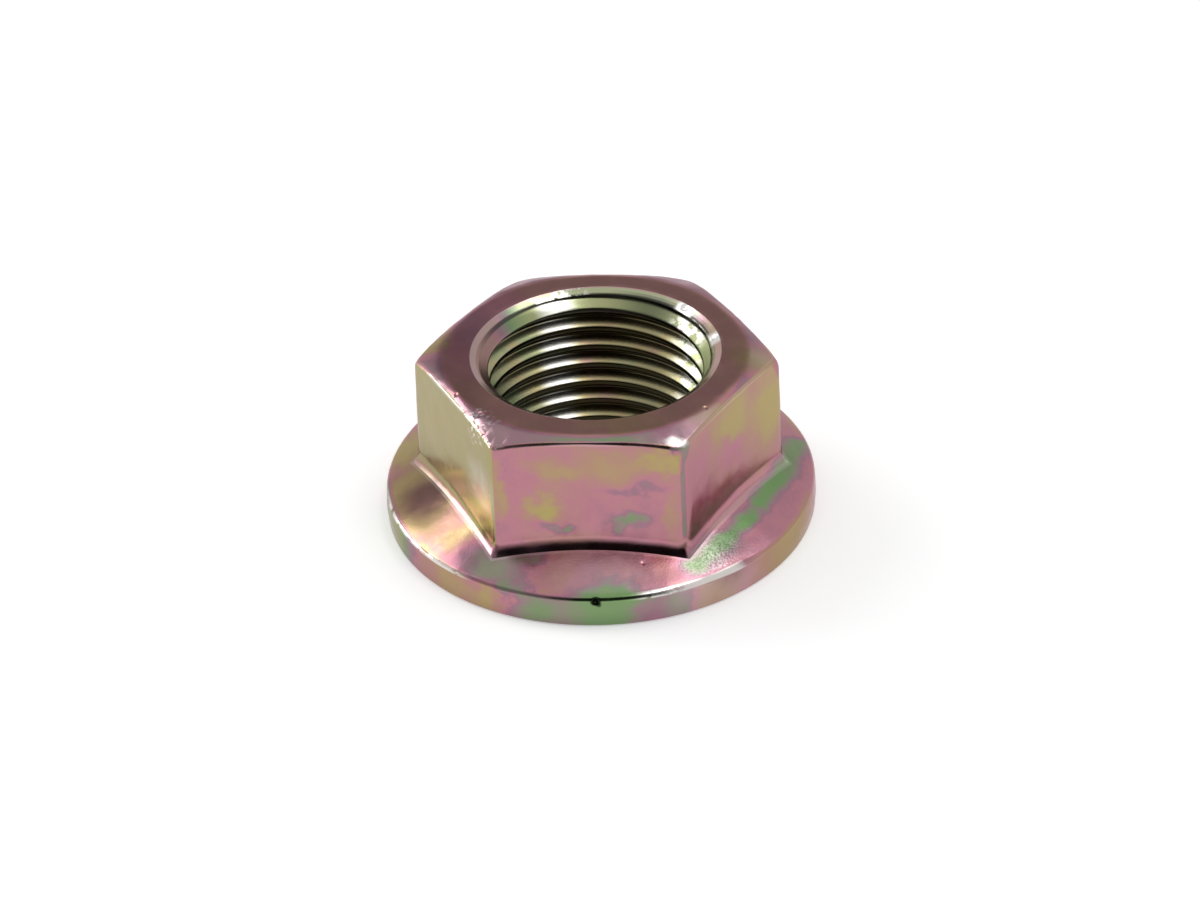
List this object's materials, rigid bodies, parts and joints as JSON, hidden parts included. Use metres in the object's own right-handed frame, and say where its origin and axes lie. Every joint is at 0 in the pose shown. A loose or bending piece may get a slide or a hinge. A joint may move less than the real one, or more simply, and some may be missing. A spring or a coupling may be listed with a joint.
{
  "type": "flange nut",
  "caption": "Six-sided nut with a coned round flange, bevelled top corners and a fine-threaded through hole with countersunk mouths.",
  "frame": {"origin": "centre of the flange's bearing face, on the axis of the threaded hole", "axes": "+Z along the hole's axis, from the bearing face up to the top face; -Y faces the flat that is nearest to the camera in the picture"},
  "size_m": [0.03, 0.03, 0.0121],
  "materials": {
    "zinc_plate": "bright zinc plate with a yellow passivate that shows pink, green and gold"
  },
  "bodies": {
    "root": {"flange_nut": "zinc_plate"}
  },
  "joints": []
}
